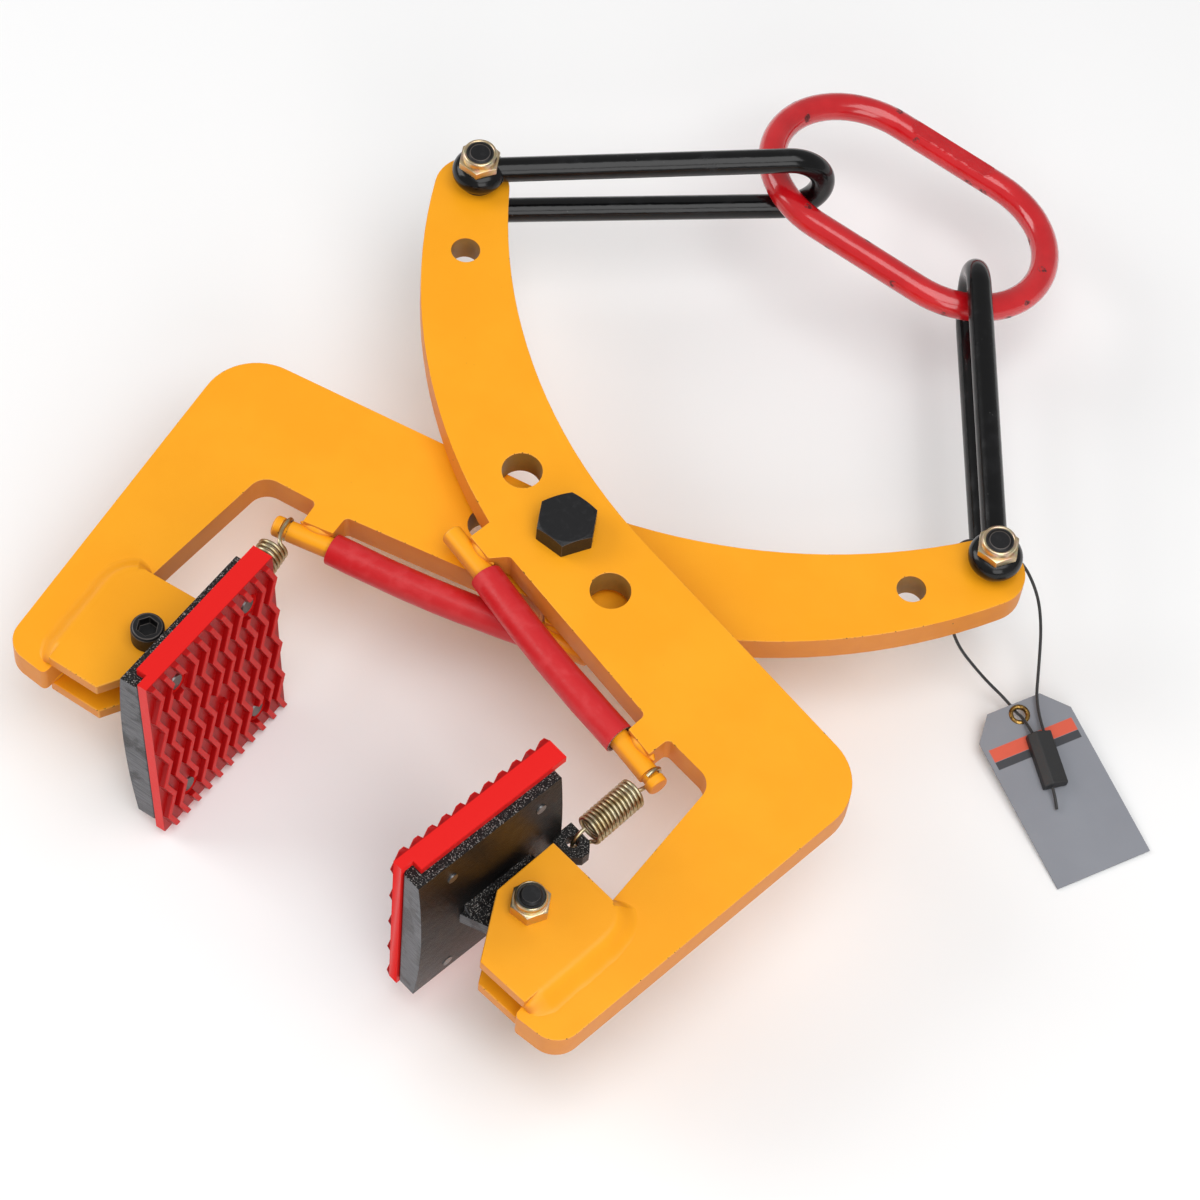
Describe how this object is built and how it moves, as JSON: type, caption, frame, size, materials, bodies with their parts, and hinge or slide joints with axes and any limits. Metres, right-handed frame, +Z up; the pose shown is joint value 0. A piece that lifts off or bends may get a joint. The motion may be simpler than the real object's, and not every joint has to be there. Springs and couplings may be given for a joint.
{
  "type": "lifting tongs",
  "caption": "Scissor lifting tongs: crossed plate arms, sprung swivel jaws faced with zigzag rubber pads, hose-covered handles, and hairpin links up to an oblong lifting ring.",
  "frame": {"origin": "centre of the tongs' footprint, without the tag and its cord, at the level of the lowest pad edge", "axes": "+Z up from the floor the tongs lie on, +Y along the tongs from the jaws to the lifting ring, +X across them to the jaw of the upper arm"},
  "size_m": [0.55, 0.6166, 0.1533],
  "materials": {
    "arm_paint": "gloss orange-yellow paint",
    "red_hose": "satin red hose",
    "black_casting": "rough black",
    "red_pad": "satin red moulded rubber",
    "bright_steel": "bright plated",
    "yellow_zinc": "yellow zinc plated",
    "black_steel": "black oxide",
    "black_enamel": "gloss black",
    "red_enamel": "gloss red",
    "tag_sheet": "matt grey sheet, blank",
    "eyelet_brass": "bright",
    "cord_weave": "woven black",
    "lock_plastic": "matt black"
  },
  "bodies": {
    "rear_arm": {"rear_arm": "arm_paint", "rear_handle_bar": "arm_paint", "rear_grip_hose": "red_hose", "rear_outer_cheek": "arm_paint", "rear_inner_cheek": "arm_paint", "left_jaw_pin": "black_steel", "left_jaw_pin_nut": "yellow_zinc", "pivot_bolt": "black_steel", "pivot_nut": "yellow_zinc", "pivot_washer": "yellow_zinc", "pivot_spacer": "black_steel", "right_link_bolt": "black_steel", "right_link_nut": "yellow_zinc", "right_link_washers": "yellow_zinc", "left_spring": "yellow_zinc"},
    "front_arm": {"front_arm": "arm_paint", "front_handle_bar": "arm_paint", "front_grip_hose": "red_hose", "front_outer_cheek": "arm_paint", "front_inner_cheek": "arm_paint", "right_jaw_pin": "black_steel", "right_jaw_pin_nut": "yellow_zinc", "left_link_bolt": "black_steel", "left_link_nut": "yellow_zinc", "left_link_washers": "yellow_zinc", "right_spring": "yellow_zinc"},
    "right_jaw": {"right_jaw_casting": "black_casting", "right_jaw_pad": "red_pad", "right_jaw_pad_screws": "bright_steel"},
    "left_jaw": {"left_jaw_casting": "black_casting", "left_jaw_pad": "red_pad", "left_jaw_pad_screws": "bright_steel"},
    "left_link": {"left_link": "black_enamel"},
    "right_link": {"right_link": "black_enamel", "tag": "tag_sheet", "tag_eyelet": "eyelet_brass", "cord_lock": "lock_plastic", "tag_cord": "cord_weave", "tag_cord_tail": "cord_weave"},
    "master_link": {"master_link": "red_enamel"}
  },
  "joints": [
    {"name": "arm_pivot", "type": "hinge", "parent": "rear_arm", "child": "front_arm", "pos_m": [0, -0.06811, 0.07627], "axis": [0, 0, 1], "range_deg": [-24, 10]},
    {"name": "right_jaw_swing", "type": "hinge", "parent": "front_arm", "child": "right_jaw", "pos_m": [0.1285, -0.25611, 0.08727], "axis": [0, 0, 1], "range_deg": [-6, 12], "stiffness_Nm_per_rad": 1.15, "deforming": ["right_spring"]},
    {"name": "left_jaw_swing", "type": "hinge", "parent": "rear_arm", "child": "left_jaw", "pos_m": [-0.1285, -0.25611, 0.06527], "axis": [0, 0, 1], "range_deg": [-12, 11], "stiffness_Nm_per_rad": 1.15, "deforming": ["left_spring"]},
    {"name": "left_link_swing", "type": "hinge", "parent": "front_arm", "child": "left_link", "pos_m": [-0.1814, 0.07769, 0.08727], "axis": [0, 0, 1], "range_deg": [-11, 26]},
    {"name": "right_link_swing", "type": "hinge", "parent": "rear_arm", "child": "right_link", "pos_m": [0.1814, 0.07769, 0.06527], "axis": [0, 0, 1], "range_deg": [-26, 11]},
    {"name": "ring_swing", "type": "hinge", "parent": "left_link", "child": "master_link", "pos_m": [-0.05019, 0.20091, 0.08727], "axis": [0, 0, 1], "range_deg": [-14, 6]}
  ],
  "couplings": [
    {"joint": "left_link_swing", "follows": "arm_pivot", "ratio": -1.06},
    {"joint": "right_link_swing", "follows": "arm_pivot", "ratio": 1.06},
    {"joint": "ring_swing", "follows": "arm_pivot", "ratio": 0.56}
  ]
}
